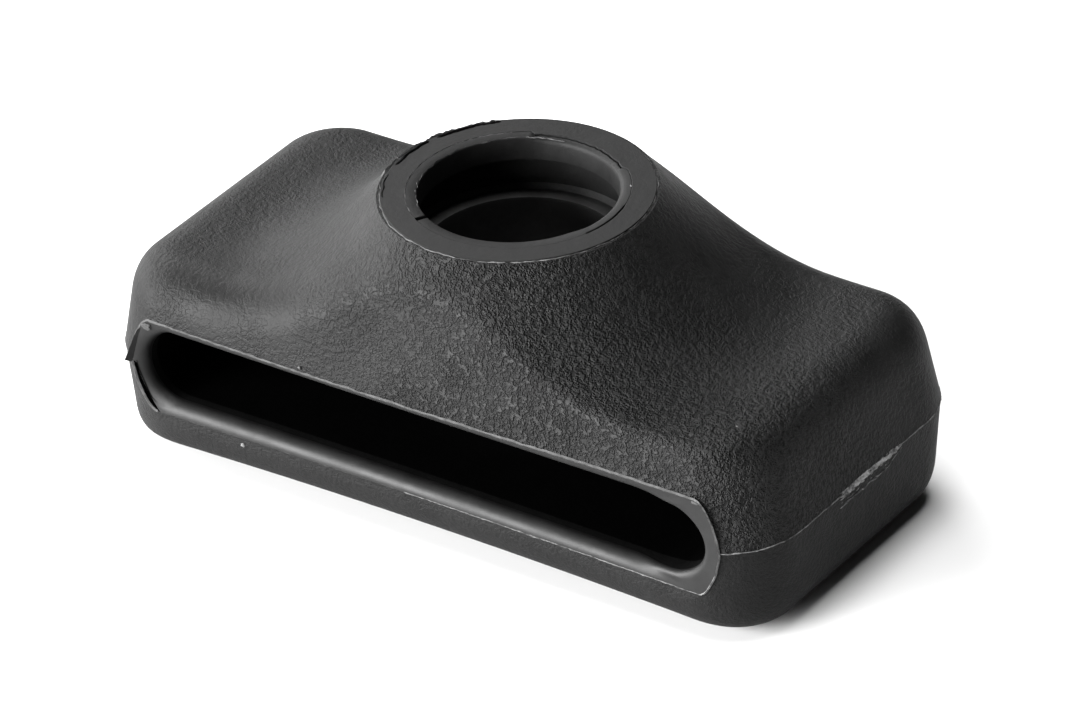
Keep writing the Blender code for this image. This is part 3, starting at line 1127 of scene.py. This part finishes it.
def make_camera():
    back = Vector((
        math.sin(CAMERA_AZIMUTH) * math.cos(CAMERA_ELEVATION),
        -math.cos(CAMERA_AZIMUTH) * math.cos(CAMERA_ELEVATION),
        math.sin(CAMERA_ELEVATION),
    ))
    level = Vector((math.cos(CAMERA_AZIMUTH), math.sin(CAMERA_AZIMUTH), 0.0))
    upright = back.cross(level)
    right = level * math.cos(CAMERA_ROLL) + upright * math.sin(CAMERA_ROLL)
    up = upright * math.cos(CAMERA_ROLL) - level * math.sin(CAMERA_ROLL)
    camera = bpy.data.cameras.new("camera")
    camera.sensor_width = CAMERA_SENSOR_MM
    camera.lens = CAMERA_LENS_MM
    camera.clip_start = 0.01
    camera.clip_end = 10.0
    holder = bpy.data.objects.new("camera", camera)
    place = right * CAMERA_RIGHT + up * CAMERA_UP + back * CAMERA_DISTANCE
    turn = Matrix((right, up, back)).transposed()
    holder.matrix_world = Matrix.Translation(place) @ turn.to_4x4()
    bpy.context.scene.collection.objects.link(holder)
    bpy.context.scene.camera = holder


def area_light(name, azimuth, elevation, power):
    """A round soft panel at an azimuth and elevation, facing the part."""
    light = bpy.data.lights.new(name, "AREA")
    light.shape = "DISK"
    light.size = PANEL_SIZE
    light.energy = power
    turn = math.radians(azimuth)
    lift = math.radians(elevation)
    back = Vector((math.cos(turn) * math.cos(lift), math.sin(turn) * math.cos(lift), math.sin(lift)))
    holder = bpy.data.objects.new(name, light)
    holder.location = back * PANEL_DISTANCE
    holder.rotation_euler = (-back).to_track_quat("-Z", "Y").to_euler()
    bpy.context.scene.collection.objects.link(holder)


def make_light():
    world = bpy.data.worlds.new("studio")
    world.use_nodes = True
    background = world.node_tree.nodes["Background"]
    background.inputs["Color"].default_value = (1, 1, 1, 1)
    background.inputs["Strength"].default_value = WORLD_STRENGTH
    bpy.context.scene.world = world
    bpy.context.scene.view_settings.view_transform = "Standard"
    for name, azimuth, elevation, power in PANELS:
        area_light(name, azimuth, elevation, power)


def make_rubbers():
    """The rubbers by name. A grain or swell is (pitch, depth)."""
    calm = (1.3 * MM, 0.03 * MM)
    casing_grain = (0.42 * MM, 0.26 * MM)
    casing_swell = (1.3 * MM, 0.05 * MM)
    base_grain = (0.3 * MM, 0.03 * MM)
    base_swell = (1.3 * MM, 0.08 * MM)
    face_grain = (0.4 * MM, 0.004 * MM)
    lip_grain = (0.5 * MM, 0.002 * MM)
    throat_grain = (0.5 * MM, 0.004 * MM)
    return {
        # The number after the swell paints shade into the grain's pits and highlight onto its crests.
        "grained": rubber("grained_rubber", 0.005, 0.56, 0.12, casing_grain, casing_swell, 0.75, worn=True),
        "plain": rubber("plain_rubber", 0.0046, 0.58, 0.11, base_grain, base_swell, 0.2),
        "face": rubber("face_rubber", 0.0062, 0.58, 0.12, face_grain, calm),
        # Painted light: lighter copies of the face rubber for the bore's upward faces and the groove's wall.
        "ledge": rubber("painted_light_ledge_rubber", 0.03, 0.6, 0.2, face_grain, calm),
        "groove": rubber("painted_light_groove_rubber", 0.009, 0.6, 0.15, face_grain, calm),
        # The lip's colour gets painted shade towards the throat.
        "lip": rubber("lip_rubber", 0.005, 0.52, 0.2, lip_grain, calm, with_painted_throat_shade=True),
        # Near-black copies of the rubber for the throat: painted shade.
        "painted_half_shade": rubber("painted_half_shade_rubber", 0.001, 0.8, 0.04, throat_grain, calm),
        "painted_black_shade": rubber("painted_black_shade_rubber", 0.0002, 0.95, 0.01, throat_grain, calm),
    }


def make_flashes():
    return {
        # Painted shade: near-black flash for the shadowed gaps at the collar's rim.
        "dark": flash_material("painted_shade_flash", 0.0003, 0.0006, 0.01),
        "faint": flash_material("faint_flash", 0.007, 0.03, 0.15),
        "soft": flash_material("soft_flash", 0.018, 0.042, 0.15),
        "light": flash_material("light_flash", 0.018, 0.055, 0.2),
        "pale": flash_material("whitened_and_highlit_flash", 0.03, 0.14, 0.2),
        # Painted light: the scar's flash is paler still, so that it shows bright on the unlit right end.
        "torn": flash_material("painted_light_scar_flash", 0.05, 0.32, 0.2),
    }


def main():
    rubbers = make_rubbers()
    flashes = make_flashes()
    cutter = trough_cutter()
    make_casing(cutter, rubbers["grained"], rubbers["plain"])
    bpy.data.objects.remove(cutter, do_unlink=True)
    make_lips(rubbers["lip"], rubbers["painted_half_shade"], rubbers["painted_black_shade"])
    make_throat(rubbers["painted_black_shade"])
    make_collar(rubbers["face"], rubbers["ledge"], rubbers["groove"])
    make_lip_ring(rubbers["face"])
    make_seam_flash(flashes["pale"])
    make_mouth_flash(flashes)
    make_collar_flash(flashes)
    make_gate_scar(flashes["torn"])
    make_tab(rubbers["face"])
    make_lumps("rim_lumps", LUMPS, flashes["soft"])
    make_lumps("crumbs", CRUMBS, flashes["pale"])
    make_floor()
    make_camera()
    make_light()


main()
